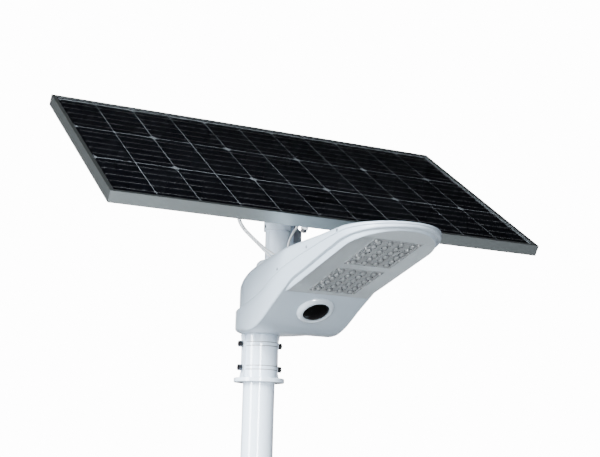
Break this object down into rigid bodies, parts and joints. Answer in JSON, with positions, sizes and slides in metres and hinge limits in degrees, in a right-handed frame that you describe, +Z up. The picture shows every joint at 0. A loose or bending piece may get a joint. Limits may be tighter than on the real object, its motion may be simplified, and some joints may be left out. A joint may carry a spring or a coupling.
{
  "type": "solar street lamp",
  "caption": "Pole-top solar street lamp: swept white lamp head with LED lenses and motion sensor, socketed on a pole, under a tilting solar panel.",
  "frame": {"origin": "on the pole's axis, at the lower end face of the pole's top section", "axes": "+Z up along the pole, -Y towards the lamp head's tip, X along the panel's long side"},
  "size_m": [1.048, 0.7894, 0.902],
  "materials": {
    "pole_white": "gloss white powder coat",
    "socket_white": "gloss white powder coat",
    "casting_white": "die casting, satin white powder coat",
    "sensor_white": "smooth white",
    "plate_grey": "die casting, light grey powder coat",
    "dark_steel": "stainless, shaded",
    "zinc_steel": "zinc plated",
    "bracket_grey": "grey powder coat",
    "bracket_zinc": "galvanised",
    "raw_casting": "as cast",
    "board_green": "white solder mask",
    "led_yellow": "phosphor",
    "lens_clear": "clear polycarbonate",
    "window_black": "polished black",
    "battery_blue": "shrink wrap",
    "gland_black": "black nylon",
    "spacer_white": "white nylon",
    "rail_alu": "mill finish",
    "frame_alu": "satin anodised",
    "panel_glass": "tempered, low iron",
    "cell_black": "monocrystalline silicon",
    "sheet_white": "white backsheet",
    "box_black": "moulded",
    "lug_brass": "tinned lug",
    "lead_white": "white sheath"
  },
  "bodies": {
    "pole": {"pole_tube": "pole_white", "stop_ring": "pole_white"},
    "head": {"pole_socket": "socket_white", "socket_screws": "dark_steel", "screw_washers": "zinc_steel", "socket_bolts": "zinc_steel", "head_tray": "casting_white", "head_cover": "casting_white", "cover_screws": "dark_steel", "spine": "raw_casting", "spine_bolts": "zinc_steel", "stub_collar": "socket_white", "stub_tube": "socket_white", "stub_cap": "gland_black", "neck_cover": "socket_white", "light_plate": "plate_grey", "led_boards": "board_green", "led_chips": "led_yellow", "lens_inner": "lens_clear", "lens_outer": "lens_clear", "lens_screws": "zinc_steel", "sensor_ring": "sensor_white", "sensor_dome": "window_black", "sensor_board": "board_green", "battery": "battery_blue", "battery_tray": "zinc_steel", "controller": "raw_casting", "head_glands": "gland_black", "lead_plus_low": "lead_white", "lead_minus_low": "lead_white", "lead_bond_low": "lead_white"},
    "bracket": {"saddle": "socket_white", "saddle_screws": "dark_steel", "cheek_left": "bracket_grey", "cheek_right": "bracket_grey", "pivot_bolt": "zinc_steel", "pivot_spacer": "zinc_steel", "lead_plus_high": "lead_white", "lead_minus_high": "lead_white", "lead_bond_high": "lead_white"},
    "panel": {"ear_left": "bracket_zinc", "ear_right": "bracket_zinc", "lock_bolts": "zinc_steel", "ear_bolts": "zinc_steel", "rail_left": "rail_alu", "rail_right": "rail_alu", "rail_bolts": "dark_steel", "rail_spacers": "spacer_white", "frame_near": "frame_alu", "frame_far": "frame_alu", "frame_left": "frame_alu", "frame_right": "frame_alu", "corner_keys": "rail_alu", "panel_glass": "panel_glass", "solar_cells": "cell_black", "backsheet": "sheet_white", "junction_box": "box_black", "junction_lid": "box_black", "bond_lug": "lug_brass"}
  },
  "joints": [
    {"name": "head_swivel", "type": "hinge", "parent": "pole", "child": "head", "pos_m": [0, 0, 0.26], "axis": [0, 0, 1], "continuous": true},
    {"name": "bracket_swivel", "type": "hinge", "parent": "head", "child": "bracket", "pos_m": [0, -0.076, 0.61], "axis": [0, 0, 1], "range_deg": [-60, 60], "deforming": ["lead_plus_low", "lead_minus_low", "lead_bond_low"]},
    {"name": "panel_tilt", "type": "hinge", "parent": "bracket", "child": "panel", "pos_m": [0, -0.038, 0.685], "axis": [-1, 0, 0], "range_deg": [0, 33.8], "deforming": ["lead_plus_high", "lead_minus_high", "lead_bond_high"]}
  ]
}
